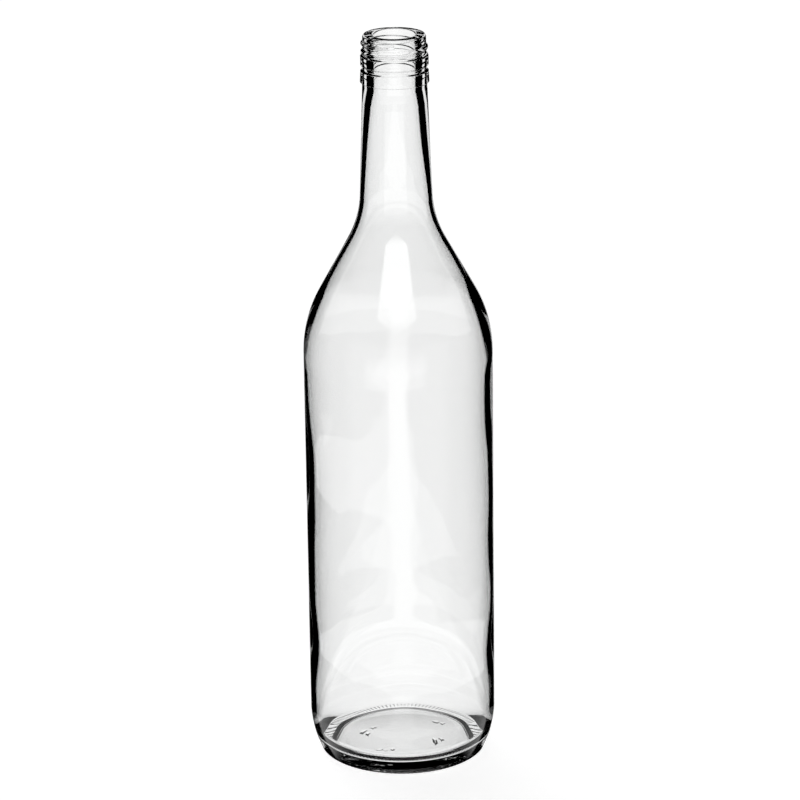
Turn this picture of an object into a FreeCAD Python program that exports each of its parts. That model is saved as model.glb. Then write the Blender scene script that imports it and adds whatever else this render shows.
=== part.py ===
import FreeCAD, Part
import math
import os

# Empty clear-glass spirits bottle of one litre, open at its screw finish.
# One piece of glass: a turned wall with a helical screw thread on its finish.
# Frame: millimetres, +Z up, origin in the middle of the bearing surface on which it stands.

# ---- Overall sizes ----
bottle_height = 327.5
body_diameter = 83.0

# ---- Foot: rounded heel, flat bearing ring and pushed-up bottom ----
heel_height = 21.0
heel_curve_radius = 49.0
heel_corner_radius = 2.0
bearing_width = 5.0
push_up_step_width = 6.2
push_up_step_height = 2.0
push_up_dome_radius = 185.0

# ---- Shoulder and neck ----
shoulder_crown_radius = 57.0
shoulder_slope_angle = 29.0
neck_hollow_radius = 44.0
neck_taper_angle = 2.05
neck_length = 49.0
neck_top_diameter = 27.9

# ---- Screw finish, from the rim down ----
finish_height = 20.6
rim_diameter = 27.3
rim_outer_rounding = 1.05
rim_inner_rounding = 1.0
band_drop = 9.2
band_height = 4.0
band_diameter = 29.3
groove_diameter = 27.4
ring_height = 4.9
ring_diameter = 29.8
ring_flare = 0.25
edge_slant = 0.6
edge_rounding = 0.4

# ---- Screw thread ----
thread_pitch = 3.52
thread_turns = 2.0
thread_height = 0.78
thread_width = 2.3
thread_root_depth = 0.6
thread_end_cover = 0.3
thread_drop = 2.85
thread_end_angle = 270.0
thread_runout_angle = 60.0

# ---- Inside of the glass ----
body_wall = 2.6
neck_base_wall = 2.0
crown_inner_radius = 84.0
finish_bore_diameter = 17.9
finish_bore_length = 24.6
bore_flare_length = 6.5
bore_flare_widening = 2.3
bore_flare_rounding = 8.0
heel_inner_radius = 7.0
base_thickness = 6.2
floor_dome_radius = 185.0

# ---- How finely the shape is worked out ----
SPINE_POINTS_PER_TURN = 24
ROUNDING_SHARE = 0.45
SAME_POINT = 1e-6

# ---- Levels and radii that follow from the sizes above ----
body_radius = body_diameter / 2
neck_top_radius = neck_top_diameter / 2
neck_top_bore_radius = (finish_bore_diameter + bore_flare_widening) / 2
rim_middle_radius = (rim_diameter + finish_bore_diameter) / 4
ring_foot_level = bottle_height - finish_height
band_top_level = bottle_height - band_drop
neck_top_level = ring_foot_level - edge_slant
neck_base_level = neck_top_level - neck_length
taper = math.radians(neck_taper_angle)
slope = math.radians(shoulder_slope_angle)
neck_base_radius = neck_top_radius + neck_length * math.tan(taper)


def point(radius, level):
    """A point of the wall's section, in the plane of the +X axis."""
    return FreeCAD.Vector(radius, 0, level)


def straight(start, end):
    return Part.LineSegment(start, end).toShape()


def arc(centre, radius, start_angle, end_angle):
    """An arc of the section, with its angles in radians up from the outward direction."""
    angles = (start_angle, (start_angle + end_angle) / 2, end_angle)
    spots = [centre + point(radius * math.cos(a), radius * math.sin(a)) for a in angles]
    return Part.Arc(*spots).toShape()


def joined(runs):
    """The edges of several runs in a row, with a straight edge across each gap between them."""
    edges = list(runs[0])
    for run in runs[1:]:
        gap_start = edges[-1].Vertexes[-1].Point
        gap_end = run[0].Vertexes[0].Point
        if gap_start.distanceToPoint(gap_end) > SAME_POINT:
            edges.append(straight(gap_start, gap_end))
        edges.extend(run)
    return edges


def rounded_run(corners):
    """Straight edges through (radius, level, rounding) corners, each rounded by a tangent arc.

    An arc takes up no more than its share of the shorter edge beside it.
    """
    spots = [point(radius, level) for radius, level, _ in corners]
    edges = []
    last = spots[0]
    for index in range(1, len(corners) - 1):
        to_previous = spots[index - 1] - spots[index]
        to_next = spots[index + 1] - spots[index]
        half_angle = to_previous.getAngle(to_next) / 2
        shorter_run = min(to_previous.Length, to_next.Length)
        reach = min(corners[index][2] / math.tan(half_angle), ROUNDING_SHARE * shorter_run)
        radius = reach * math.tan(half_angle)
        to_previous.normalize()
        to_next.normalize()
        inward = (to_previous + to_next).normalize()
        start = spots[index] + to_previous * reach
        middle = spots[index] + inward * (radius / math.sin(half_angle) - radius)
        end = spots[index] + to_next * reach
        edges.append(straight(last, start))
        edges.append(Part.Arc(start, middle, end).toShape())
        last = end
    edges.append(straight(last, spots[-1]))
    return edges


def finish_outside():
    """From the middle of the rim down: rim, threaded wall, locking band, groove and neck ring."""
    rim_radius = rim_diameter / 2
    band_radius = band_diameter / 2
    groove_radius = groove_diameter / 2
    ring_radius = ring_diameter / 2
    band_foot_level = band_top_level - band_height
    ring_top_level = ring_foot_level + ring_height
    return rounded_run([
        (rim_middle_radius, bottle_height, 0),
        (rim_radius, bottle_height, rim_outer_rounding),
        (rim_radius, band_top_level + edge_slant, edge_rounding),
        (band_radius, band_top_level, edge_rounding),
        (band_radius, band_foot_level, edge_rounding),
        (groove_radius, band_foot_level - edge_slant, edge_rounding),
        (groove_radius, ring_top_level + edge_slant, edge_rounding),
        (ring_radius - ring_flare, ring_top_level, edge_rounding),
        (ring_radius, ring_foot_level, edge_rounding),
        (neck_top_radius, neck_top_level, 0),
    ])


def shoulder(neck_radius, hollow_radius, crown_radius, side_radius):
    """From the foot of the neck down: hollow arc, cone and crown arc, which ends upright."""
    hollow_direction = point(math.cos(taper), math.sin(taper))
    hollow_centre = point(neck_radius, neck_base_level) + hollow_direction * hollow_radius
    hollow = arc(hollow_centre, hollow_radius, math.pi + taper, math.pi + slope)
    cone_top = hollow.Vertexes[-1].Point
    cone_foot_radius = side_radius - crown_radius * (1 - math.cos(slope))
    cone_foot_level = cone_top.z - (cone_foot_radius - cone_top.x) / math.tan(slope)
    crown_level = cone_foot_level - crown_radius * math.sin(slope)
    crown = arc(point(side_radius - crown_radius, crown_level), crown_radius, slope, 0)
    return joined([[hollow], [crown]])


def heel_and_underside():
    """From the side wall down and in: heel, flat bearing ring, step that ends level, pushed-up dome."""
    heel_centre = point(body_radius - heel_curve_radius, heel_height)
    centre_distance = heel_curve_radius - heel_corner_radius
    corner_drop = heel_height - heel_corner_radius
    corner_angle = -math.asin(corner_drop / centre_distance)
    corner_centre = point(heel_centre.x + centre_distance * math.cos(corner_angle), heel_corner_radius)
    heel_side = arc(heel_centre, heel_curve_radius, 0, corner_angle)
    heel_corner = arc(corner_centre, heel_corner_radius, corner_angle, -math.pi / 2)
    ring_inner_radius = corner_centre.x - bearing_width
    step_radius = ring_inner_radius - push_up_step_width
    step_curve_radius = (push_up_step_width ** 2 + push_up_step_height ** 2) / (2 * push_up_step_height)
    step_centre = point(step_radius, push_up_step_height - step_curve_radius)
    step_foot_angle = math.acos(push_up_step_width / step_curve_radius)
    step = arc(step_centre, step_curve_radius, step_foot_angle, math.pi / 2)
    dome_foot_angle = math.acos(step_radius / push_up_dome_radius)
    dome_centre = point(0, push_up_step_height - push_up_dome_radius * math.sin(dome_foot_angle))
    dome = arc(dome_centre, push_up_dome_radius, dome_foot_angle, math.pi / 2)
    return joined([[heel_side], [heel_corner], [step], [dome]])


def bore_and_neck_inside(neck_foot):
    """From the middle of the rim down: straight bore, flare below the finish, neck down to its foot."""
    bore_radius = finish_bore_diameter / 2
    bore_foot_level = bottle_height - finish_bore_length
    flare_foot_level = bore_foot_level - bore_flare_length
    return rounded_run([
        (rim_middle_radius, bottle_height, 0),
        (bore_radius, bottle_height, rim_inner_rounding),
        (bore_radius, bore_foot_level, bore_flare_rounding),
        (neck_top_bore_radius, flare_foot_level, bore_flare_rounding),
        (neck_foot.x, neck_foot.z, 0),
    ])


def inner_heel_and_floor():
    """From the side wall down and in: inner heel and the domed floor, one arc running into the other."""
    heel_centre = point(body_radius - body_wall - heel_inner_radius, base_thickness + heel_inner_radius)
    centre_distance = floor_dome_radius + heel_inner_radius
    floor_angle = math.acos(heel_centre.x / centre_distance)
    floor_centre = point(0, heel_centre.z - centre_distance * math.sin(floor_angle))
    heel = arc(heel_centre, heel_inner_radius, 0, floor_angle - math.pi)
    floor = arc(floor_centre, floor_dome_radius, floor_angle, math.pi / 2)
    return joined([[heel], [floor]])


def turned_wall():
    """The whole glass wall, turned about the bottle's axis from one closed section."""
    outer_shoulder = shoulder(neck_base_radius, neck_hollow_radius, shoulder_crown_radius, body_radius)
    inner_shoulder = shoulder(
        neck_base_radius - neck_base_wall,
        neck_hollow_radius + neck_base_wall,
        crown_inner_radius,
        body_radius - body_wall,
    )
    neck_foot = inner_shoulder[0].Vertexes[0].Point
    outer_run = joined([finish_outside(), outer_shoulder, heel_and_underside()])
    inner_run = joined([bore_and_neck_inside(neck_foot), inner_shoulder, inner_heel_and_floor()])
    axis_run = straight(outer_run[-1].Vertexes[-1].Point, inner_run[-1].Vertexes[-1].Point)
    outline = Part.Wire(Part.__sortEdges__(outer_run + inner_run + [axis_run]))
    return Part.Face(outline).revolve(FreeCAD.Vector(0, 0, 0), FreeCAD.Vector(0, 0, 1), 360)


def ridge_sink(angle):
    """How far the ridge has sunk into the wall at an angle along the thread, from 0 to its full height."""
    full_angle = 360 * thread_turns
    from_end = min(angle, full_angle - angle)
    share = min(from_end / thread_runout_angle, 1)
    return (thread_height + thread_end_cover) * (1 + math.cos(math.pi * share)) / 2


def thread_spine():
    """The right-hand helix of the ridge's foot, from its lower end up, which dives in at both ends."""
    full_angle = 360 * thread_turns
    count = round(SPINE_POINTS_PER_TURN * thread_turns)
    spots = []
    for index in range(count + 1):
        angle = full_angle * index / count
        turned = math.radians(thread_end_angle - full_angle + angle)
        radius = rim_diameter / 2 - ridge_sink(angle)
        level = bottle_height - thread_drop - thread_pitch * (full_angle - angle) / 360
        spots.append(FreeCAD.Vector(radius * math.cos(turned), radius * math.sin(turned), level))
    curve = Part.BSplineCurve()
    curve.interpolate(spots)
    return Part.Wire([curve.toShape()])


def thread_section(start, outward):
    """The ridge's section at the spine's start: one round crest whose root is sunk in the wall."""
    crest_radius = (thread_width ** 2 / 4 + thread_height ** 2) / (2 * thread_height)
    ridge_depth = thread_height + thread_root_depth
    half_width = math.sqrt(ridge_depth * (2 * crest_radius - ridge_depth))
    root = start - outward * thread_root_depth
    crest = start + outward * thread_height
    side = FreeCAD.Vector(0, 0, half_width)
    crown = Part.Arc(root - side, crest, root + side).toShape()
    return Part.Wire([crown, straight(root + side, root - side)])


def thread_ridge():
    """The thread as one solid ridge, swept along its helix."""
    spine = thread_spine()
    start = spine.Edges[0].Vertexes[0].Point
    outward = FreeCAD.Vector(start.x, start.y, 0).normalize()
    sweep = Part.BRepOffsetAPI.MakePipeShell(spine)
    sweep.setBiNormalMode(FreeCAD.Vector(0, 0, 1))
    sweep.add(thread_section(start, outward), False, False)
    sweep.build()
    sweep.makeSolid()
    return sweep.shape()


def bottle():
    return turned_wall().fuse(thread_ridge()).removeSplitter()


os.makedirs("parts", exist_ok=True)
glass = bottle().Solids[0]
glass.exportStep("parts/bottle.step")
measured_height = glass.optimalBoundingBox(False, False).ZLength
print("bottle valid", glass.isValid(), "height", round(measured_height, 2), "mm")
print("glass", round(glass.Volume / 1000, 1), "cubic centimetres")
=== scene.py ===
import math
import bpy
from mathutils import Matrix, Vector


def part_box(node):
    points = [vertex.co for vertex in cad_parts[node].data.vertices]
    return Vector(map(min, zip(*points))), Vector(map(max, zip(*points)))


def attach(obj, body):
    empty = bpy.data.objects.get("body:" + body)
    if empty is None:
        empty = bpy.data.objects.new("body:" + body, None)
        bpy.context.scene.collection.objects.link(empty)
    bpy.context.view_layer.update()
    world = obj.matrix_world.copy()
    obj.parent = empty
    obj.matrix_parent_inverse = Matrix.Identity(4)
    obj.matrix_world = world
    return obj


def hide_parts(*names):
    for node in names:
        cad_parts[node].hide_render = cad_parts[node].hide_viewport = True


# Looks of an empty clear-glass spirits bottle: a blown body with a moulded screw thread,
# a knurled foot and mould marks on its underside.
# Metres, +Z up. The middle of the foot is at the origin, and -Y is the front.

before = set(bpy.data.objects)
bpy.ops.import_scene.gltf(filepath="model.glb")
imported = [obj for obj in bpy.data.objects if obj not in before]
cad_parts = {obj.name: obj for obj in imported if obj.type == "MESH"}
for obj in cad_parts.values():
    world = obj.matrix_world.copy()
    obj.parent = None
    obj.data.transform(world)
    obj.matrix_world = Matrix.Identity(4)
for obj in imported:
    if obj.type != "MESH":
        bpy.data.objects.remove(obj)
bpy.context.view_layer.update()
node_lowest, node_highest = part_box("bottle")

MM = 0.001

# ---- Overall sizes, from the frame ----
BOTTLE_HEIGHT = node_highest.z
BODY_RADIUS = min(node_highest.x, node_highest.y, -node_lowest.x, -node_lowest.y)

# ---- Foot: rounded heel, flat bearing ring and pushed-up bottom ----
HEEL_HEIGHT = 21 * MM
HEEL_CURVE_RADIUS = 49 * MM
HEEL_CORNER_RADIUS = 2 * MM
BEARING_WIDTH = 5 * MM
PUSH_UP_STEP_WIDTH = 6.2 * MM
PUSH_UP_STEP_HEIGHT = 2 * MM
PUSH_UP_DOME_RADIUS = 185 * MM

# ---- Shoulder and neck ----
SHOULDER_CROWN_RADIUS = 57 * MM
SHOULDER_SLOPE = math.radians(29)
NECK_HOLLOW_RADIUS = 44 * MM
NECK_TAPER = math.radians(2.05)
NECK_LENGTH = 49 * MM
NECK_TOP_RADIUS = 13.95 * MM

# ---- Screw finish, from the rim down ----
FINISH_HEIGHT = 20.6 * MM
RIM_RADIUS = 13.65 * MM
RIM_OUTER_ROUNDING = 1.05 * MM
RIM_INNER_ROUNDING = 1 * MM
BAND_DROP = 9.2 * MM
BAND_HEIGHT = 4 * MM
BAND_RADIUS = 14.65 * MM
GROOVE_RADIUS = 13.7 * MM
RING_HEIGHT = 4.9 * MM
RING_RADIUS = 14.9 * MM
RING_FLARE = 0.25 * MM
EDGE_SLANT = 0.6 * MM
EDGE_ROUNDING = 0.4 * MM

# ---- Screw thread: right-hand, its upper end at the front ----
THREAD_PITCH = 3.52 * MM
THREAD_TURNS = 2.0
THREAD_HEIGHT = 0.78 * MM
THREAD_WIDTH = 2.3 * MM
THREAD_DROP = 2.85 * MM
THREAD_FILLET = 0.16 * MM
THREAD_END_ANGLE = math.radians(270)
THREAD_RUNOUT_ANGLE = math.radians(60)

# ---- Inside of the glass ----
BODY_WALL = 2.6 * MM
NECK_BASE_WALL = 2 * MM
CROWN_INNER_RADIUS = 84 * MM
NECK_TOP_BORE_RADIUS = 10.1 * MM
FINISH_BORE_RADIUS = 8.95 * MM
FINISH_BORE_LENGTH = 24.6 * MM
BORE_FLARE_LENGTH = 6.5 * MM
BORE_FLARE_ROUNDING = 8 * MM
HEEL_INNER_RADIUS = 7 * MM
BASE_THICKNESS = 6.2 * MM
FLOOR_DOME_RADIUS = 185 * MM

# ---- Knurls round the bearing ring ----
KNURL_COUNT = 120
KNURL_DEPTH = 0.9 * MM
KNURL_INNER_RADIUS = 30.6 * MM
KNURL_OUTER_RADIUS = 37 * MM
KNURL_END_FADE = 1.2 * MM

# ---- Plain mould marks on the underside: (x, y, half-length, direction) bars. A dot has no length. ----
MARKS = [
    (-17.6 * MM, -1 * MM, 0.9 * MM, math.radians(55)),
    (-15.6 * MM, -3.6 * MM, 0, 0),
    (-13.4 * MM, 2.6 * MM, 0, 0),
    (-10.4 * MM, -16.8 * MM, 0.9 * MM, math.radians(30)),
    (-7.6 * MM, -17.8 * MM, 0, 0),
    (-4.6 * MM, -16.6 * MM, 0, 0),
    (14.6 * MM, 9.6 * MM, 0.8 * MM, math.radians(150)),
    (17.6 * MM, 7.6 * MM, 0, 0),
    (13.8 * MM, -9.6 * MM, 1 * MM, math.radians(95)),
    (16.6 * MM, -7.4 * MM, 0, 0),
]
MARK_HEIGHT = 0.7 * MM
MARK_HALF_WIDTH = 0.3 * MM
MARK_EDGE = 0.4 * MM
MARK_INNER_RADIUS = 13 * MM
MARK_OUTER_RADIUS = 22.5 * MM

# ---- Unevenness that the blowing leaves on the inside ----
# A swell is strongest at its level and fades out at its half-height: (level, half-height, amount).
CAVITY_TO_LEFT = 1 * MM
CAVITY_TO_LEFT_SWELLS = [(180 * MM, 60 * MM, 0.8), (283 * MM, 30 * MM, 0.3)]
CAVITY_TO_RIGHT = 1 * MM
CAVITY_TO_RIGHT_SWELLS = [(112 * MM, 46 * MM, 0.5), (66 * MM, 40 * MM, 0.45)]
THICKER_WALL = 1 * MM
THICKER_WALL_SWELLS = [(122 * MM, 50 * MM, 0.35), (44 * MM, 24 * MM, 0.5), (208 * MM, 20 * MM, 0.3)]
WAVE_HEIGHT = 0.22 * MM
WAVE_LENGTH = 22 * MM
WAVE_SWELLS = [(150 * MM, 260 * MM, 1.5)]
EVEN_ABOVE_FLOOR = 3 * MM

# ---- How finely the wall is divided ----
SECTORS = 360
CORNER_STEPS = 3
HOLLOW_STEPS = 9
CROWN_STEPS = 12
HEEL_STEPS = 13
HEEL_CORNER_STEPS = 5
PUSH_UP_EDGE_STEPS = 6
DOME_STEPS_OUTSIDE_MARKS = 3
DOME_STEPS_ACROSS_MARKS = 20
DOME_STEPS_INSIDE_MARKS = 9
INNER_HEEL_STEPS = 14
FLOOR_STEPS = 12
BEARING_STEP = 0.6 * MM
THREAD_STEP = 0.25 * MM
INSIDE_STEP = 6 * MM
OUTSIDE_STEP = 20 * MM

# ---- Tolerances: points this near are one, and a point this near the finish's wall is on it ----
SAME_POINT = 0.001 * MM
NEAR_WALL = 0.1 * MM

# ---- Shading: 50 weighs faces by their area alone, and 100 leaves most to the big ones ----
BIG_FACES_FIRST = 100

# ---- Levels and radii that follow from the sizes above ----
RING_FOOT_LEVEL = BOTTLE_HEIGHT - FINISH_HEIGHT
BAND_TOP_LEVEL = BOTTLE_HEIGHT - BAND_DROP
NECK_TOP_LEVEL = RING_FOOT_LEVEL - EDGE_SLANT
NECK_BASE_LEVEL = NECK_TOP_LEVEL - NECK_LENGTH
NECK_BASE_RADIUS = NECK_TOP_RADIUS + NECK_LENGTH * math.tan(NECK_TAPER)
RIM_MIDDLE_RADIUS = (RIM_RADIUS + FINISH_BORE_RADIUS) / 2
WALL_FOOT_LEVEL = BASE_THICKNESS + HEEL_INNER_RADIUS
WITHIN_FLOOR_LEVEL = PUSH_UP_STEP_HEIGHT + BASE_THICKNESS / 2
UNEVEN_FOOT_LEVEL = BASE_THICKNESS + EVEN_ABOVE_FLOOR


# ---- Runs of the wall's section: lists of (radius, level) points, from the top down ----

def spaced(first, last, steps):
    """Evenly spaced values or points, both ends included."""
    return [first + (last - first) * step / steps for step in range(steps + 1)]


def straight(start, end, longest_step):
    steps = max(1, round((end - start).length / longest_step))
    return spaced(start, end, steps)


def arc(centre, radius, start_angle, end_angle, steps):
    """Points along an arc of the section, with its angles up from the outward direction."""
    angles = spaced(start_angle, end_angle, steps)
    return [centre + radius * Vector((math.cos(angle), math.sin(angle))) for angle in angles]


def rounded_run(corners):
    """Straight runs between (radius, level, rounding) corners, each rounded by an arc."""
    spots = [Vector((radius, level)) for radius, level, _ in corners]
    points = [spots[0]]
    for index in range(1, len(corners) - 1):
        to_previous = (spots[index - 1] - spots[index]).normalized()
        to_next = (spots[index + 1] - spots[index]).normalized()
        half_angle = to_previous.angle(to_next) / 2
        rounding = corners[index][2]
        inward = (to_previous + to_next).normalized()
        centre = spots[index] + inward * rounding / math.sin(half_angle)
        start = spots[index] + to_previous * rounding / math.tan(half_angle)
        end = spots[index] + to_next * rounding / math.tan(half_angle)
        for step in range(CORNER_STEPS + 1):
            across = start.lerp(end, step / CORNER_STEPS) - centre
            points.append(centre + across.normalized() * rounding)
    points.append(spots[-1])
    return points


def finish_outside():
    """From the middle of the rim down: rim, threaded wall, locking band, groove and neck ring."""
    band_foot_level = BAND_TOP_LEVEL - BAND_HEIGHT
    ring_top_level = RING_FOOT_LEVEL + RING_HEIGHT
    return rounded_run([
        (RIM_MIDDLE_RADIUS, BOTTLE_HEIGHT, 0),
        (RIM_RADIUS, BOTTLE_HEIGHT, RIM_OUTER_ROUNDING),
        (RIM_RADIUS, BAND_TOP_LEVEL + EDGE_SLANT, EDGE_ROUNDING),
        (BAND_RADIUS, BAND_TOP_LEVEL, EDGE_ROUNDING),
        (BAND_RADIUS, band_foot_level, EDGE_ROUNDING),
        (GROOVE_RADIUS, band_foot_level - EDGE_SLANT, EDGE_ROUNDING),
        (GROOVE_RADIUS, ring_top_level + EDGE_SLANT, EDGE_ROUNDING),
        (RING_RADIUS - RING_FLARE, ring_top_level, EDGE_ROUNDING),
        (RING_RADIUS, RING_FOOT_LEVEL, EDGE_ROUNDING),
        (NECK_TOP_RADIUS, NECK_TOP_LEVEL, 0),
    ])


def shoulder(neck_radius, hollow_radius, crown_radius, side_radius):
    """From the foot of the neck down: hollow arc, cone and crown arc, which ends upright."""
    neck_foot = Vector((neck_radius, NECK_BASE_LEVEL))
    hollow_centre = neck_foot + hollow_radius * Vector((math.cos(NECK_TAPER), math.sin(NECK_TAPER)))
    hollow_start = math.pi + NECK_TAPER
    hollow_end = math.pi + SHOULDER_SLOPE
    hollow = arc(hollow_centre, hollow_radius, hollow_start, hollow_end, HOLLOW_STEPS)
    cone_top = hollow[-1]
    cone_foot_radius = side_radius - crown_radius * (1 - math.cos(SHOULDER_SLOPE))
    cone_foot_level = cone_top.y - (cone_foot_radius - cone_top.x) / math.tan(SHOULDER_SLOPE)
    crown_level = cone_foot_level - crown_radius * math.sin(SHOULDER_SLOPE)
    crown_centre = Vector((side_radius - crown_radius, crown_level))
    crown = arc(crown_centre, crown_radius, SHOULDER_SLOPE, 0, CROWN_STEPS)
    return hollow + crown


def outer_shoulder():
    return shoulder(NECK_BASE_RADIUS, NECK_HOLLOW_RADIUS, SHOULDER_CROWN_RADIUS, BODY_RADIUS)


def inner_shoulder():
    return shoulder(
        NECK_BASE_RADIUS - NECK_BASE_WALL,
        NECK_HOLLOW_RADIUS + NECK_BASE_WALL,
        CROWN_INNER_RADIUS,
        BODY_RADIUS - BODY_WALL,
    )


def heel_and_underside():
    """From the side wall down and in: heel, flat bearing ring, rounded step and pushed-up dome."""
    heel_centre = Vector((BODY_RADIUS - HEEL_CURVE_RADIUS, HEEL_HEIGHT))
    centre_distance = HEEL_CURVE_RADIUS - HEEL_CORNER_RADIUS
    corner_angle = -math.asin((HEEL_HEIGHT - HEEL_CORNER_RADIUS) / centre_distance)
    corner_centre = Vector((heel_centre.x + centre_distance * math.cos(corner_angle), HEEL_CORNER_RADIUS))
    heel_side = arc(heel_centre, HEEL_CURVE_RADIUS, 0, corner_angle, HEEL_STEPS)
    heel_corner = arc(corner_centre, HEEL_CORNER_RADIUS, corner_angle, -math.pi / 2, HEEL_CORNER_STEPS)
    ring_inner_radius = corner_centre.x - BEARING_WIDTH
    bearing = straight(Vector((corner_centre.x, 0)), Vector((ring_inner_radius, 0)), BEARING_STEP)
    step_radius = ring_inner_radius - PUSH_UP_STEP_WIDTH
    step_curve_radius = (PUSH_UP_STEP_WIDTH ** 2 + PUSH_UP_STEP_HEIGHT ** 2) / (2 * PUSH_UP_STEP_HEIGHT)
    step_centre = Vector((step_radius, PUSH_UP_STEP_HEIGHT - step_curve_radius))
    step_foot_angle = math.acos(PUSH_UP_STEP_WIDTH / step_curve_radius)
    step = arc(step_centre, step_curve_radius, step_foot_angle, math.pi / 2, PUSH_UP_EDGE_STEPS)
    dome_foot_angle = math.acos(step_radius / PUSH_UP_DOME_RADIUS)
    dome_centre = Vector((0, PUSH_UP_STEP_HEIGHT - PUSH_UP_DOME_RADIUS * math.sin(dome_foot_angle)))
    dome = []
    for outer_radius, inner_radius, steps in (
        (step_radius, MARK_OUTER_RADIUS, DOME_STEPS_OUTSIDE_MARKS),
        (MARK_OUTER_RADIUS, MARK_INNER_RADIUS, DOME_STEPS_ACROSS_MARKS),
        (MARK_INNER_RADIUS, 0, DOME_STEPS_INSIDE_MARKS),
    ):
        start_angle = math.acos(outer_radius / PUSH_UP_DOME_RADIUS)
        end_angle = math.acos(inner_radius / PUSH_UP_DOME_RADIUS)
        dome += arc(dome_centre, PUSH_UP_DOME_RADIUS, start_angle, end_angle, steps)
    return heel_side + heel_corner + bearing + step + dome


def bore_and_neck_inside(neck_foot):
    """From the middle of the rim down: straight bore, flare, and the neck down to its foot."""
    bore_foot_level = BOTTLE_HEIGHT - FINISH_BORE_LENGTH
    return rounded_run([
        (RIM_MIDDLE_RADIUS, BOTTLE_HEIGHT, 0),
        (FINISH_BORE_RADIUS, BOTTLE_HEIGHT, RIM_INNER_ROUNDING),
        (FINISH_BORE_RADIUS, bore_foot_level, BORE_FLARE_ROUNDING),
        (NECK_TOP_BORE_RADIUS, bore_foot_level - BORE_FLARE_LENGTH, BORE_FLARE_ROUNDING),
        (neck_foot.x, neck_foot.y, 0),
    ])


def inner_heel_and_floor():
    """From the side wall down and in: the inner heel, then the domed floor that it runs into."""
    heel_centre = Vector((BODY_RADIUS - BODY_WALL - HEEL_INNER_RADIUS, WALL_FOOT_LEVEL))
    centre_distance = FLOOR_DOME_RADIUS + HEEL_INNER_RADIUS
    floor_angle = math.acos(heel_centre.x / centre_distance)
    floor_centre = Vector((0, heel_centre.y - centre_distance * math.sin(floor_angle)))
    inner_heel = arc(heel_centre, HEEL_INNER_RADIUS, 0, floor_angle - math.pi, INNER_HEEL_STEPS)
    domed_floor = arc(floor_centre, FLOOR_DOME_RADIUS, floor_angle, math.pi / 2, FLOOR_STEPS)
    return inner_heel + domed_floor


def divided(points, longest_step):
    """The same run with points added so that no step is much longer than the longest."""
    finer = [points[0]]
    for start, end in zip(points, points[1:]):
        finer += straight(start, end, longest_step)[1:]
    return finer


def wall_section():
    """The whole section: from the middle of the floor up the inside, over the rim and down outside."""
    finish = finish_outside()
    thread_foot = next(index for index, spot in enumerate(finish) if spot.y < BAND_TOP_LEVEL)
    threaded = divided(finish[:thread_foot], THREAD_STEP)
    outside = threaded + finish[thread_foot:] + outer_shoulder() + heel_and_underside()
    shoulder_inside = inner_shoulder()
    inside = bore_and_neck_inside(shoulder_inside[0]) + shoulder_inside + inner_heel_and_floor()
    section = list(reversed(divided(inside, INSIDE_STEP))) + divided(outside, OUTSIDE_STEP)
    followers = [spot for spot, last in zip(section[1:], section) if (spot - last).length > SAME_POINT]
    return section[:1] + followers


def middle_of_the_glass():
    """Points down the middle of the glass, from the rim to the bearing ring."""
    shoulder_middle = [outer.lerp(inner, 0.5) for outer, inner in zip(outer_shoulder(), inner_shoulder())]
    return [
        Vector((RIM_MIDDLE_RADIUS, BOTTLE_HEIGHT)),
        Vector((RIM_MIDDLE_RADIUS, RING_FOOT_LEVEL)),
        *shoulder_middle,
        Vector((BODY_RADIUS - BODY_WALL / 2, WALL_FOOT_LEVEL)),
        Vector(((KNURL_INNER_RADIUS + KNURL_OUTER_RADIUS) / 2, 0)),
    ]


# ---- Modelling ----

def deselect_everything():
    bpy.ops.object.select_all(action="DESELECT")


def apply_modifiers(piece):
    """Makes what the modifiers of a piece do part of its mesh."""
    bpy.context.view_layer.objects.active = piece
    for modifier in list(piece.modifiers):
        bpy.ops.object.modifier_apply(modifier=modifier.name)


def weigh(piece, name, weight_at):
    """A vertex group whose weight at each point of the piece comes from a function of its place."""
    group = piece.vertex_groups.new(name=name)
    for vertex in piece.data.vertices:
        weight = weight_at(vertex.co)
        if weight > 0:
            group.add([vertex.index], min(weight, 1), "REPLACE")


def displace(piece, name, direction, strength, weight_at, texture=None):
    """Moves the points of a piece along a direction, each by its own share of the strength.

    A texture moves them to both sides of where they are, because its middle value is a half.
    """
    weigh(piece, name, weight_at)
    modifier = piece.modifiers.new(name, "DISPLACE")
    modifier.direction = direction
    modifier.strength = strength
    modifier.mid_level = 0 if texture is None else 0.5
    modifier.vertex_group = name
    modifier.texture = texture


def smooth(share):
    """Eases a share between 0 and 1, level at both ends."""
    share = max(0, min(1, share))
    return share * share * (3 - 2 * share)


def flat_radius(spot):
    """How far a place is from the bottle's axis."""
    return math.hypot(spot.x, spot.y)


def ridge_sink(angle):
    """How far the ridge has sunk into the wall at an angle along the thread, towards its ends."""
    from_end = min(angle, 2 * math.pi * THREAD_TURNS - angle)
    share = min(from_end / THREAD_RUNOUT_ANGLE, 1)
    return THREAD_HEIGHT * (1 + math.cos(math.pi * share)) / 2


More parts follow.
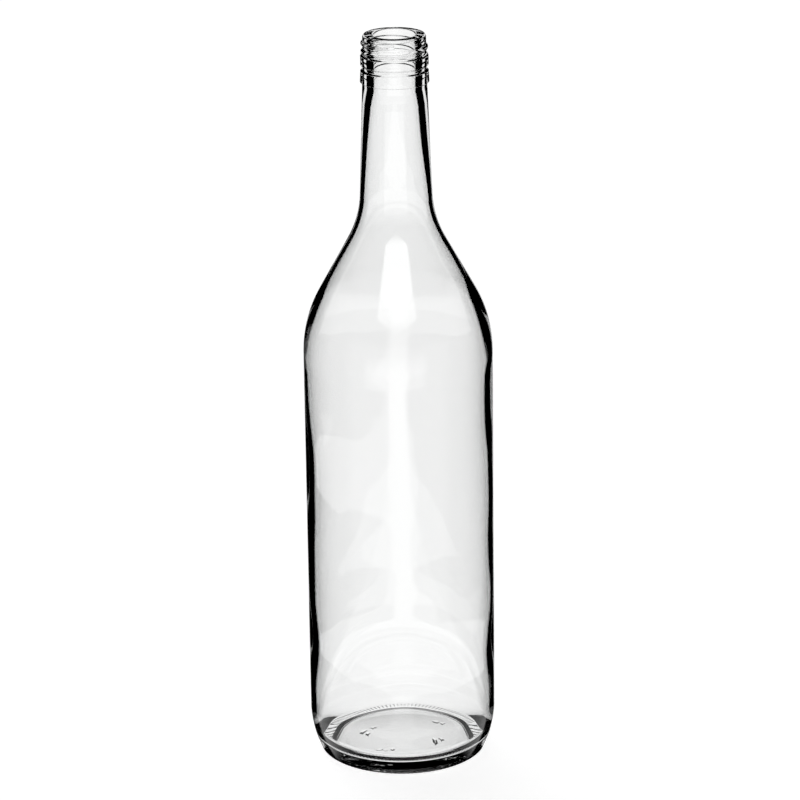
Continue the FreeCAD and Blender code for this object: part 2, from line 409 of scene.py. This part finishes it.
def ridge_radius(spot):
    """The radius of the thread's surface at a place, or 0 where no turn passes near it."""
    crest_curve = (THREAD_WIDTH ** 2 / 4 + THREAD_HEIGHT ** 2) / (2 * THREAD_HEIGHT)
    full_angle = 2 * math.pi * THREAD_TURNS
    first_angle = (math.atan2(spot.y, spot.x) - THREAD_END_ANGLE + full_angle) % (2 * math.pi)
    best = 0
    for turn in range(math.ceil(THREAD_TURNS)):
        angle = first_angle + turn * 2 * math.pi
        if angle > full_angle:
            continue
        level = BOTTLE_HEIGHT - THREAD_DROP - THREAD_PITCH * (full_angle - angle) / (2 * math.pi)
        offset = abs(spot.z - level)
        if offset < crest_curve:
            crest = RIM_RADIUS + THREAD_HEIGHT - ridge_sink(angle)
            best = max(best, crest - crest_curve + math.sqrt(crest_curve ** 2 - offset ** 2))
    return best


def thread_weight(spot):
    """The ridge's lift as a share of the way out to its crest, with a small fillet at its foot."""
    crest = RIM_RADIUS + THREAD_HEIGHT
    radius = flat_radius(spot)
    if spot.z < BAND_TOP_LEVEL or not RIM_RADIUS - NEAR_WALL < radius < crest:
        return 0
    lift = ridge_radius(spot) - radius
    fillet_foot = -2 * THREAD_FILLET
    if lift <= fillet_foot:
        return 0
    rounded_lift = (lift + math.hypot(lift, THREAD_FILLET)) / 2
    return rounded_lift / (crest - radius)


def raise_thread(piece):
    """Casts the threaded wall towards a cylinder as wide as the thread's crest."""
    weigh(piece, "thread", thread_weight)
    modifier = piece.modifiers.new("thread", "CAST")
    modifier.cast_type = "CYLINDER"
    modifier.use_z = False
    modifier.use_radius_as_size = False
    modifier.factor = 1
    modifier.size = RIM_RADIUS + THREAD_HEIGHT
    modifier.vertex_group = "thread"


def knurl_weight(spot):
    """The valleys between the knurls of the bearing ring, which fade out towards the ring's two edges."""
    radius = flat_radius(spot)
    if spot.z > HEEL_CORNER_RADIUS or not KNURL_INNER_RADIUS < radius < KNURL_OUTER_RADIUS:
        return 0
    from_edge = min(radius - KNURL_INNER_RADIUS, KNURL_OUTER_RADIUS - radius)
    across = 0.5 - 0.5 * math.cos(KNURL_COUNT * math.atan2(spot.y, spot.x))
    return across * smooth(from_edge / KNURL_END_FADE)


def bar_distance(spot, bar):
    """How far a place is from a short bar, given by its middle, its half-length and its direction."""
    x, y, half_length, direction = bar
    along = (spot.x - x) * math.cos(direction) + (spot.y - y) * math.sin(direction)
    across = (spot.y - y) * math.cos(direction) - (spot.x - x) * math.sin(direction)
    return math.hypot(max(abs(along) - half_length, 0), across)


def mark_weight(spot):
    """The marks on the underside, which stand out from it with soft edges."""
    if spot.z > WITHIN_FLOOR_LEVEL or not MARK_INNER_RADIUS < flat_radius(spot) < MARK_OUTER_RADIUS:
        return 0
    nearest = min(bar_distance(spot, bar) for bar in MARKS)
    return smooth(1 - (nearest - MARK_HALF_WIDTH) / MARK_EDGE)


def is_inside(spot, middle):
    """Whether a place on the glass is nearer the axis than the middle of the glass at its level."""
    below = next(index for index, point in enumerate(middle) if point.y <= spot.z)
    lower = middle[below]
    upper = middle[max(below - 1, 0)]
    share = (spot.z - lower.y) / max(upper.y - lower.y, SAME_POINT)
    return flat_radius(spot) < lower.lerp(upper, share).x


def uneven_inside(piece):
    """The cavity drifts to one side and back, and its wall is thicker in places and gently wavy."""
    middle = middle_of_the_glass()

    def swollen(parts):
        """A weight for places on the inside: the sum of soft swells."""
        def weight_at(spot):
            if not UNEVEN_FOOT_LEVEL <= spot.z <= RING_FOOT_LEVEL or not is_inside(spot, middle):
                return 0
            return sum(
                amount * smooth(1 - abs(spot.z - level) / half_height)
                for level, half_height, amount in parts
            )
        return weight_at

    waves = bpy.data.textures.new("waves", "CLOUDS")
    waves.noise_scale = WAVE_LENGTH
    waves.noise_depth = 1
    displace(piece, "to_left", "X", -CAVITY_TO_LEFT, swollen(CAVITY_TO_LEFT_SWELLS))
    displace(piece, "to_right", "X", CAVITY_TO_RIGHT, swollen(CAVITY_TO_RIGHT_SWELLS))
    displace(piece, "thicker", "NORMAL", THICKER_WALL, swollen(THICKER_WALL_SWELLS))
    displace(piece, "waves", "NORMAL", WAVE_HEIGHT, swollen(WAVE_SWELLS), waves)


def turned_glass():
    """The wall turned from its section: one point drawn along the section, then spun about the axis."""
    section = wall_section()
    deselect_everything()
    bpy.ops.mesh.primitive_plane_add(size=MM, location=(section[0].x, 0, section[0].y))
    piece = bpy.context.active_object
    bpy.ops.object.transform_apply(location=True, rotation=True, scale=True)
    bpy.ops.object.mode_set(mode="EDIT")
    bpy.ops.mesh.merge(type="CENTER")
    for start, end in zip(section, section[1:]):
        move = (end.x - start.x, 0, end.y - start.y)
        bpy.ops.mesh.extrude_region_move(TRANSFORM_OT_translate={"value": move})
    bpy.ops.mesh.select_all(action="SELECT")
    bpy.ops.mesh.spin(steps=SECTORS, angle=2 * math.pi, center=(0, 0, 0), axis=(0, 0, 1))
    bpy.ops.mesh.select_all(action="SELECT")
    bpy.ops.mesh.remove_doubles(threshold=SAME_POINT)
    bpy.ops.mesh.normals_make_consistent(inside=False)
    bpy.ops.object.mode_set(mode="OBJECT")
    bpy.ops.object.shade_smooth()
    raise_thread(piece)
    displace(piece, "knurls", "Z", KNURL_DEPTH, knurl_weight)
    displace(piece, "marks", "Z", -MARK_HEIGHT, mark_weight)
    uneven_inside(piece)
    apply_modifiers(piece)
    piece.vertex_groups.clear()
    even_shading = piece.modifiers.new("even_shading", "WEIGHTED_NORMAL")
    even_shading.weight = BIG_FACES_FIRST
    even_shading.keep_sharp = False
    apply_modifiers(piece)
    piece.name = "bottle_glass"
    piece.data.name = "bottle_glass"
    return piece


# ---- Materials ----

WHITE = (1, 1, 1, 1)
FAINT_TINT = (0.992, 0.998, 0.995, 1)
REFRACTIVE_INDEX = 1.52
WAVE_SCALE = 45
UPRIGHT_STRETCH = (1, 1, 0.3)
WAVE_BUMP_STRENGTH = 0.3
WAVE_BUMP_HEIGHT = 0.1 * MM
HAZE_SCALE = 250
HAZE_STARTS = 0.5
HAZE_IS_FULL = 0.8
MOST_HAZE = 0.012
FLOOR_PAINT = (0.9, 0.9, 0.9, 1)
FLOOR_GLOW = 0.84

# A Mix node has a set of sockets for each kind of value, so those for colours go by their place.
MIX_FIRST_COLOUR = 6
MIX_SECOND_COLOUR = 7
MIX_COLOUR_RESULT = 2


def new_material(name):
    material = bpy.data.materials.new(name)
    material.use_nodes = True
    material.node_tree.nodes.clear()
    return material


def blown_finish():
    """A node group for blown glass: faint upright waves, a hint of haze and a tint that varies."""
    tree = bpy.data.node_groups.new("blown_finish", "ShaderNodeTree")
    for name, in_out, kind in (
        ("Clear Colour", "INPUT", "NodeSocketColor"),
        ("Tinted Colour", "INPUT", "NodeSocketColor"),
        ("Wave Scale", "INPUT", "NodeSocketFloat"),
        ("Haze Scale", "INPUT", "NodeSocketFloat"),
        ("Most Haze", "INPUT", "NodeSocketFloat"),
        ("Colour", "OUTPUT", "NodeSocketColor"),
        ("Roughness", "OUTPUT", "NodeSocketFloat"),
        ("Height", "OUTPUT", "NodeSocketFloat"),
    ):
        tree.interface.new_socket(name=name, in_out=in_out, socket_type=kind)
    nodes = tree.nodes
    links = tree.links
    given = nodes.new("NodeGroupInput")
    result = nodes.new("NodeGroupOutput")
    place = nodes.new("ShaderNodeTexCoord")
    upright = nodes.new("ShaderNodeMapping")
    upright.inputs["Scale"].default_value = UPRIGHT_STRETCH
    links.new(place.outputs["Object"], upright.inputs["Vector"])
    waves = nodes.new("ShaderNodeTexNoise")
    waves.inputs["Detail"].default_value = 1
    links.new(upright.outputs["Vector"], waves.inputs["Vector"])
    links.new(given.outputs["Wave Scale"], waves.inputs["Scale"])
    links.new(waves.outputs["Fac"], result.inputs["Height"])
    tint = nodes.new("ShaderNodeMix")
    tint.data_type = "RGBA"
    links.new(waves.outputs["Fac"], tint.inputs["Factor"])
    links.new(given.outputs["Clear Colour"], tint.inputs[MIX_FIRST_COLOUR])
    links.new(given.outputs["Tinted Colour"], tint.inputs[MIX_SECOND_COLOUR])
    links.new(tint.outputs[MIX_COLOUR_RESULT], result.inputs["Colour"])
    haze = nodes.new("ShaderNodeTexNoise")
    haze.inputs["Detail"].default_value = 3
    links.new(place.outputs["Object"], haze.inputs["Vector"])
    links.new(given.outputs["Haze Scale"], haze.inputs["Scale"])
    amount = nodes.new("ShaderNodeMapRange")
    amount.inputs["From Min"].default_value = HAZE_STARTS
    amount.inputs["From Max"].default_value = HAZE_IS_FULL
    links.new(haze.outputs["Fac"], amount.inputs["Value"])
    links.new(given.outputs["Most Haze"], amount.inputs["To Max"])
    links.new(amount.outputs["Result"], result.inputs["Roughness"])
    return tree


def clear_glass():
    """Clear flint glass, with its blown finish in the colour, the roughness and a faint bump."""
    material = new_material("clear_glass")
    nodes = material.node_tree.nodes
    links = material.node_tree.links
    finish = nodes.new("ShaderNodeGroup")
    finish.node_tree = blown_finish()
    finish.inputs["Clear Colour"].default_value = WHITE
    finish.inputs["Tinted Colour"].default_value = FAINT_TINT
    finish.inputs["Wave Scale"].default_value = WAVE_SCALE
    finish.inputs["Haze Scale"].default_value = HAZE_SCALE
    finish.inputs["Most Haze"].default_value = MOST_HAZE
    bump = nodes.new("ShaderNodeBump")
    bump.inputs["Strength"].default_value = WAVE_BUMP_STRENGTH
    bump.inputs["Distance"].default_value = WAVE_BUMP_HEIGHT
    links.new(finish.outputs["Height"], bump.inputs["Height"])
    shader = nodes.new("ShaderNodeBsdfPrincipled")
    links.new(finish.outputs["Colour"], shader.inputs["Base Color"])
    links.new(finish.outputs["Roughness"], shader.inputs["Roughness"])
    links.new(bump.outputs["Normal"], shader.inputs["Normal"])
    shader.inputs["IOR"].default_value = REFRACTIVE_INDEX
    shader.inputs["Transmission Weight"].default_value = 1
    output = nodes.new("ShaderNodeOutputMaterial")
    links.new(shader.outputs["BSDF"], output.inputs["Surface"])
    return material


def white_floor():
    """Matt white that takes the bottle's shadow, with a glow that only the camera sees."""
    material = new_material("white_floor")
    nodes = material.node_tree.nodes
    links = material.node_tree.links
    paths = nodes.new("ShaderNodeLightPath")
    matt = nodes.new("ShaderNodeBsdfDiffuse")
    matt.inputs["Color"].default_value = FLOOR_PAINT
    seen_directly = nodes.new("ShaderNodeMath")
    seen_directly.operation = "MULTIPLY"
    seen_directly.inputs[1].default_value = FLOOR_GLOW
    links.new(paths.outputs["Is Camera Ray"], seen_directly.inputs[0])
    glow = nodes.new("ShaderNodeEmission")
    glow.inputs["Color"].default_value = WHITE
    links.new(seen_directly.outputs["Value"], glow.inputs["Strength"])
    both = nodes.new("ShaderNodeAddShader")
    links.new(matt.outputs["BSDF"], both.inputs[0])
    links.new(glow.outputs["Emission"], both.inputs[1])
    output = nodes.new("ShaderNodeOutputMaterial")
    links.new(both.outputs["Shader"], output.inputs["Surface"])
    return material


# ---- Studio ----

CAMERA_LENS = 166.75
CAMERA_SENSOR_WIDTH = 36
CAMERA_FARTHEST = 20
CAMERA_DISTANCE = 1.626
CAMERA_TARGET = Vector((0.0005, 0, 0.1632))
CAMERA_ELEVATION = math.radians(18.78)
CAMERA_ROLL = math.radians(-0.745)
FLOOR_SIZE = 12
LAMP_TURN = (math.radians(-28), math.radians(-10), 0)
LAMP_STRENGTH = 0.6
LAMP_SPREAD = math.radians(50)
LIGHT_BOUNCES = 24
GLOSSY_BOUNCES = 16

# Light of the room, in degrees: how far it is turned to the left of the front, and how far each
# patch reaches to either side of that.
LIGHT_TO_LEFT = 1.5
TABLE_HALF_WIDTH = 12.5
TABLE_UPPER_WIDENING = 26
TABLE_LOWER_WIDENING = 120
SOFTBOX_HALF_WIDTH = 29

# Strengths beside the backdrop's, which is 1, and the share of all of it that is kept off the floor.
SOFTBOX_STRENGTH = 2.2
WIDE_LIGHT_STRENGTH = 0.6
LOST_ON_FLOOR = 0.94

# Counts along a ray of light, each halfway between the last that is in and the first that is out.
NOT_YET = 0.5
AT_MOST_TWICE = 2.5


def camera():
    back = Vector((0, -math.cos(CAMERA_ELEVATION), math.sin(CAMERA_ELEVATION)))
    deselect_everything()
    bpy.ops.object.camera_add(location=CAMERA_TARGET + back * CAMERA_DISTANCE)
    eye = bpy.context.active_object
    eye.data.lens = CAMERA_LENS
    eye.data.sensor_width = CAMERA_SENSOR_WIDTH
    eye.data.clip_end = CAMERA_FARTHEST
    turn = (-back).to_track_quat("-Z", "Y").to_matrix().to_4x4()
    eye.matrix_world = Matrix.Translation(eye.location) @ turn @ Matrix.Rotation(CAMERA_ROLL, 4, "Z")
    bpy.context.scene.camera = eye


def floor():
    deselect_everything()
    bpy.ops.mesh.primitive_plane_add(size=FLOOR_SIZE)
    plane = bpy.context.active_object
    plane.name = "floor"
    plane.visible_transmission = False
    plane.visible_glossy = False
    plane.data.materials.append(white_floor())


def math_node(tree, operation, first, second=0):
    """A calculation with one or two values, each a number or another node's output."""
    node = tree.nodes.new("ShaderNodeMath")
    node.operation = operation
    for socket, value in zip(node.inputs, (first, second)):
        if isinstance(value, (int, float)):
            socket.default_value = value
        else:
            tree.links.new(value, socket)
    return node.outputs["Value"]


def ramp(tree, value, low, high):
    """0 before the low end, 1 past the high end, smooth between them."""
    node = tree.nodes.new("ShaderNodeMapRange")
    node.interpolation_type = "SMOOTHSTEP"
    node.inputs["From Min"].default_value = low
    node.inputs["From Max"].default_value = high
    tree.links.new(value, node.inputs["Value"])
    return node.outputs["Result"]


def studio():
    """A white backdrop seen through the glass, and soft patches of light in a dark room round it.

    The glass shows the patches only where it reflects. Up is a ray's elevation above the horizon,
    and from_front is how far it is turned from the front, where the camera is, to either side.
    """
    world = bpy.data.worlds.new("studio")
    bpy.context.scene.world = world
    world.use_nodes = True
    world.cycles.sampling_method = "NONE"
    tree = world.node_tree
    tree.nodes.clear()
    place = tree.nodes.new("ShaderNodeTexCoord")
    parts = tree.nodes.new("ShaderNodeSeparateXYZ")
    tree.links.new(place.outputs["Generated"], parts.inputs["Vector"])
    paths = tree.nodes.new("ShaderNodeLightPath")

    def calculate(operation, first, second=0):
        return math_node(tree, operation, first, second)

    def product(first, *others):
        for other in others:
            first = calculate("MULTIPLY", first, other)
        return first

    def brightest(first, *others):
        for other in others:
            first = calculate("MAXIMUM", first, other)
        return first

    def rise(value, low, high):
        return ramp(tree, value, math.radians(low), math.radians(high))

    def band(value, low, high, soft):
        return product(rise(value, low - soft, low + soft), rise(value, high + soft, high - soft))

    up = calculate("ARCSINE", parts.outputs["Z"])
    forwards = calculate("MULTIPLY", parts.outputs["Y"], -1)
    azimuth = calculate("ARCTAN2", parts.outputs["X"], forwards)
    from_front = calculate("ABSOLUTE", calculate("ADD", azimuth, math.radians(LIGHT_TO_LEFT)))
    crossings = paths.outputs["Transmission Depth"]
    bounces = paths.outputs["Glossy Depth"]

    backdrop = band(up, low=-76, high=80, soft=6)

    # A narrow light low down behind the bottle.
    behind = product(rise(from_front, low=164, high=170), band(up, low=-60, high=4, soft=4))

    # A white table in front, widest close to the bottle and a little wider again at its far edge.
    lower_share = calculate("POWER", rise(up, low=-18.5, high=-24.5), 2)
    lower_part = product(lower_share, math.radians(TABLE_LOWER_WIDENING))
    upper_part = product(rise(up, low=-18, high=-13), math.radians(TABLE_UPPER_WIDENING))
    widening = calculate("ADD", lower_part, upper_part)
    half_width = calculate("ADD", widening, math.radians(TABLE_HALF_WIDTH))
    table = rise(calculate("SUBTRACT", half_width, from_front), low=-4, high=4)
    table = product(table, band(up, low=-42, high=3, soft=5))

    # A softbox above the camera, wider towards its top, which only the front wall reflects.
    on_front_wall = calculate("LESS_THAN", crossings, AT_MOST_TWICE)
    half_width = product(rise(up, low=20, high=36), math.radians(SOFTBOX_HALF_WIDTH))
    softbox = rise(calculate("SUBTRACT", half_width, from_front), low=-5, high=2)
    softbox = product(softbox, on_front_wall, band(up, low=28, high=60, soft=8), SOFTBOX_STRENGTH)

    # A wide soft light at the front, which only the outside of the glass reflects.
    on_outside = calculate("LESS_THAN", crossings, NOT_YET)
    wide_light = product(rise(from_front, low=72, high=52), band(up, low=-42, high=10, soft=5))
    wide_light = product(wide_light, on_outside, WIDE_LIGHT_STRENGTH)

    # After more bounces the room is dark, but for the ceiling at the back.
    few_bounces = calculate("LESS_THAN", bounces, AT_MOST_TWICE)
    patches = product(brightest(table, softbox, behind, wide_light), few_bounces)
    ceiling = product(rise(up, low=50, high=60), rise(from_front, low=110, high=130))
    room = brightest(patches, ceiling)

    has_bounced = calculate("GREATER_THAN", bounces, NOT_YET)
    through_or_off = tree.nodes.new("ShaderNodeMix")
    tree.links.new(has_bounced, through_or_off.inputs["Factor"])
    tree.links.new(backdrop, through_or_off.inputs["A"])
    tree.links.new(room, through_or_off.inputs["B"])
    seen = brightest(through_or_off.outputs["Result"], paths.outputs["Is Camera Ray"])
    lost = product(paths.outputs["Is Diffuse Ray"], LOST_ON_FLOOR)
    strength = product(seen, calculate("SUBTRACT", 1, lost))
    shader = tree.nodes.new("ShaderNodeBackground")
    shader.inputs["Color"].default_value = WHITE
    tree.links.new(strength, shader.inputs["Strength"])
    output = tree.nodes.new("ShaderNodeOutputWorld")
    tree.links.new(shader.outputs["Background"], output.inputs["Surface"])


def soft_lamp():
    """Lights the floor from high up at the back, so that the bottle casts a faint soft shadow."""
    deselect_everything()
    bpy.ops.object.light_add(type="SUN", rotation=LAMP_TURN)
    lamp = bpy.context.active_object
    lamp.data.energy = LAMP_STRENGTH
    lamp.data.angle = LAMP_SPREAD
    lamp.visible_glossy = False
    lamp.visible_transmission = False


def picture_settings():
    scene = bpy.context.scene
    scene.view_settings.view_transform = "Standard"
    scene.cycles.max_bounces = LIGHT_BOUNCES
    scene.cycles.glossy_bounces = GLOSSY_BOUNCES
    scene.cycles.transmission_bounces = LIGHT_BOUNCES


camera()
floor()
studio()
soft_lamp()
picture_settings()

glass = turned_glass()
glass.data.materials.append(clear_glass())
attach(glass, "root")
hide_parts("bottle")
